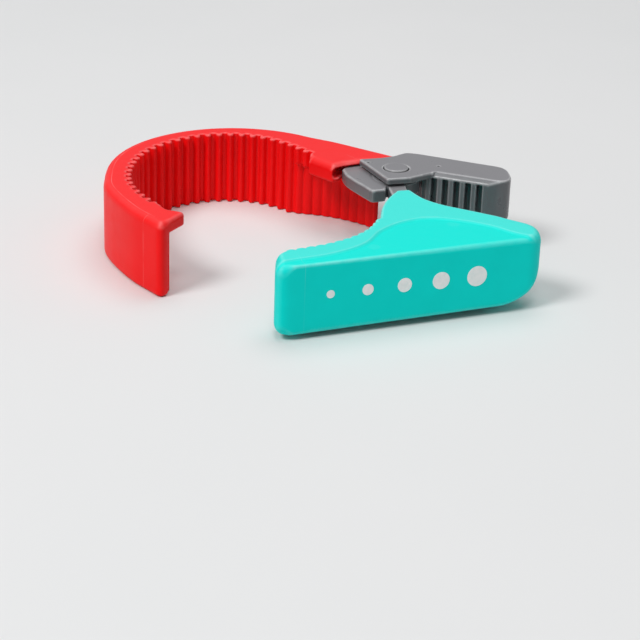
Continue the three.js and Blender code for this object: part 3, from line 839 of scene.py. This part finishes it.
def core_field(x, y, z):
    sector = outline_distance(np.vstack([
        [[33.2, 14]], arc(PIVOT, EYE_RADIUS, 240, 129, 24), arc(PIVOT, KNUCKLE_REACH, 129, 160, 20),
        smooth(SECTOR_EDGE, 60), rounded([[27.2, 9.1], [28.3, 8, 1], [32.4, 9.7]])[1:],
    ]), x, y)
    eye = circle_distance(PIVOT, EYE_RADIUS, x, y)
    core = join(between(eye, z, KNUCKLE_BOTTOM, KNUCKLE_TOP, 0.3, 0.3),
                between(sector, z, KNUCKLE_BOTTOM, KNUCKLE_TOP, 0.5, 0.75), 0.3)
    neck = outline_distance(rounded(NECK), x, y)
    core = join(core, between(neck, z, KNUCKLE_BOTTOM + GAP, KNUCKLE_TOP, 0.4, 0.5), 0.5)
    spine = outline_distance(rounded(SPINE), x, y)
    core = join(core, between(spine, z, SPINE_BOTTOM, ROOF_BOTTOM - GAP, 0.4, 0.4), 0.4)
    core = cut(core, circle_distance(PIVOT, BUSH_HOLE, x, y))
    above = circle_distance(PIVOT, UPPER_WASHER_RECESS, x, y)
    core = cut(core, meet(above, UPPER_WASHER_SEAT - z), 0.2)
    below = circle_distance(PIVOT, LOWER_WASHER_RECESS, x, y)
    core = cut(core, meet(below, z - LOWER_WASHER_SEAT), 0.2)
    for at in CORE_SCREWS:
        core = cut(core, circle_distance(at, SCREW_HOLE, x, y), 0.2)
    return cut(core, circle_distance(POSTS[1], POST_RADIUS + GAP, x, y), 0.2)


# --- Small turned and printed pieces

def screw_field(at, bottom, length):
    """A pan-head screw that points up, with a cross recess and a coarse thread."""
    def field(x, y, z):
        r = np.hypot(x - at[0], y - at[1])
        turn = np.arctan2(y - at[1], x - at[0]) / (2 * math.pi)
        dome = np.hypot(r, z - (bottom + 5.2)) - 5.2
        head = meet(between(r - 2.6, z, bottom, bottom + 1.6, 0.5, 0.2), dome, 0.1)
        arms = np.minimum(np.maximum(np.abs(x - at[0]) - 0.36, np.abs(y - at[1]) - 1.5),
                          np.maximum(np.abs(y - at[1]) - 0.36, np.abs(x - at[0]) - 1.5))
        head = cut(head, meet(arms, z - (bottom + 1.1)), 0.12)
        thread = 1.12 + 0.25 * np.abs(2 * np.mod((z - bottom) / 1.1 - turn, 1) - 1)
        taper = np.clip((bottom + length - z) / 1.6, 0.15, 1)
        shaft = between(r - thread * taper, z, bottom + 1.3, bottom + length)
        return join(head, shaft, 0.15)
    return field


def add_print(material):
    """A generic mark of five discs that grow along the handle's front face."""
    sides, proud, sunk, height = 40, 0.06, 0.3, 14.0
    outward = np.array([FRONT_WAY[1], -FRONT_WAY[0]])
    turn = np.linspace(0, 2 * math.pi, sides, endpoint=False)
    points, faces = [], []
    for i in range(5):
        radius = 1.3 + 0.5 * i
        middle = FRONT_LEFT + FRONT_WAY * (18 + 12 * i)
        first = len(points)
        for depth in (-sunk, proud):
            flat = middle + np.outer(radius * np.cos(turn), FRONT_WAY) + outward * depth
            ring = np.column_stack([flat, height + radius * np.sin(turn)])
            points += [tuple(at) for at in (ring + TO_FRAME) * MM]
        for k in range(sides):
            after = (k + 1) % sides
            faces.append((first + k, first + after, first + sides + after, first + sides + k))
        faces.append(tuple(first + sides + k for k in range(sides)))
        faces.append(tuple(first + k for k in reversed(range(sides))))
    mesh = bpy.data.meshes.new("front_print")
    mesh.from_pydata(points, [], faces)
    mesh.materials.append(material)
    mark = bpy.data.objects.new("front_print", mesh)
    bpy.context.scene.collection.objects.link(mark)
    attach(mark, "handle")


def plan_box(node):
    """A CAD node's box, in plan millimetres."""
    return tuple(np.array(corner) / MM - TO_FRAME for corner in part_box(node))


def finish_cad_node(node, material):
    """A CAD node whose shape is right: a better material and softened edges."""
    shown = frame["nodes"][node]
    shown.data.materials.clear()
    shown.data.materials.append(material)
    tidy_mesh(shown)


def build():
    coarse = 1.0
    # Each plastic's third colour is its lighter top, a painted sheen; the teal's fourth is the
    # panel's weaker painted sheen; the edge factors set the painted highlight on rounded edges, and
    # the teal's line_a is a painted highlight along a crease.
    red = moulded_plastic("red_plastic", (0.98, 0.006, 0.007), 0.40, 0.13, (0.98, 0.034, 0.036),
                          edge_highlight=0.22, side_highlight=0.0,
                          line_strengths={"line_a": 0.26, "line_b": 0.20})
    plain_red = moulded_plastic("red_cover_plastic", (0.90, 0.012, 0.014), 0.43)
    teal = moulded_plastic("teal_plastic", (0.0, 0.76, 0.69), 0.42, 0.07, (0.070, 0.80, 0.72),
                           (0.012, 0.81, 0.71), edge_highlight=0.30, side_highlight=0.7,
                           line_strengths={"line_a": 0.12, "line_b": 0.08})
    plain_teal = moulded_plastic("teal_cover_plastic", (0.0, 0.68, 0.62), 0.44, 0.07)
    grey = moulded_plastic("grey_plastic", (0.133, 0.133, 0.142), 0.30, 0.5, (0.256, 0.253, 0.267),
                           edge_highlight=0.55, side_highlight=0.35)
    acetal = moulded_plastic("acetal", (0.78, 0.76, 0.70), 0.36)
    steel = metal("plated_steel", (0.62, 0.63, 0.65), 0.30)

    sculpt("hook_shell", *plan_box("hook_arm"), 0.42 * coarse, hook_field, red, "hook",
           "red_plastic", ["hook_arm"], hook_lines)
    sculpt("jaw_block", *plan_box("small_jaw"), 0.30 * coarse, jaw_field, grey, "hook",
           "grey_plastic", ["small_jaw"])
    sculpt("handle_shell", *plan_box("handle_body"), 0.42 * coarse, handle_field, teal, "handle",
           "teal_plastic", ["handle_body"], handle_lines)
    sculpt("knuckle_and_spine", *plan_box("handle_core"), 0.32 * coarse, core_field, grey, "handle",
           "grey_plastic", ["handle_core"])
    sculpt("handle_cover", *plan_box("handle_base_cover"), 0.36 * coarse, cover_field, plain_teal,
           "handle", "teal_plastic", ["handle_base_cover"])

    lathe("pivot_rivet", PIVOT, [
        (0, 18.7), (2.3, 18.7), (2.5, 18.9), (2.5, 25.2), (4.0, 25.2), (4.0, 26.1), (3.85, 26.32),
        (3.5, 26.46), (3.0, 26.5), (0, 26.5),
    ], grey, "hook", ["pivot_pin"])
    rings = [
        ("upper_washer", "pivot_washer_upper", "hook", 2.8, 5.6, 22.5, 23.1, acetal, "acetal"),
        ("lower_washer", "pivot_washer_lower", "hook", 2.8, 5.2, 19.75, 20.2, acetal, "acetal"),
        ("retaining_ring", "pivot_retainer", "hook", 2.7, 4.6, 18.9, 19.5, steel, "steel"),
        ("bush", "knuckle_bush", "handle", 2.75, 3.4, 20.5, 22.1, acetal, "acetal"),
    ]
    for name, node, body, inner, outer, low, high, material, slot in rings:
        profile = [(inner, low), (outer, low), (outer, high), (inner, high)]
        lathe(name, PIVOT, profile, material, body, [node])

    for name, node, places in (("inner_screw", "core_screw", CORE_SCREWS),
                               ("base_screw", "cover_screw", POSTS)):
        for i, at in enumerate(places, 1):
            low, high = plan_box(f"{node}_{i}")
            shape = screw_field(at, low[2], high[2] - low[2])
            sculpt(f"{name}_{i}", low, high, 0.17 * coarse, shape, steel, "handle", "steel",
                   [f"{node}_{i}"])

    finish_cad_node("hook_core", grey)
    finish_cad_node("hook_base_cover", plain_red)
    for i in range(len(TAIL_PIN_AT)):
        finish_cad_node(f"tail_pin_{i + 1}", steel)
    add_print(print_ink("white_ink"))


set_camera()
set_studio()
add_floor()
build()
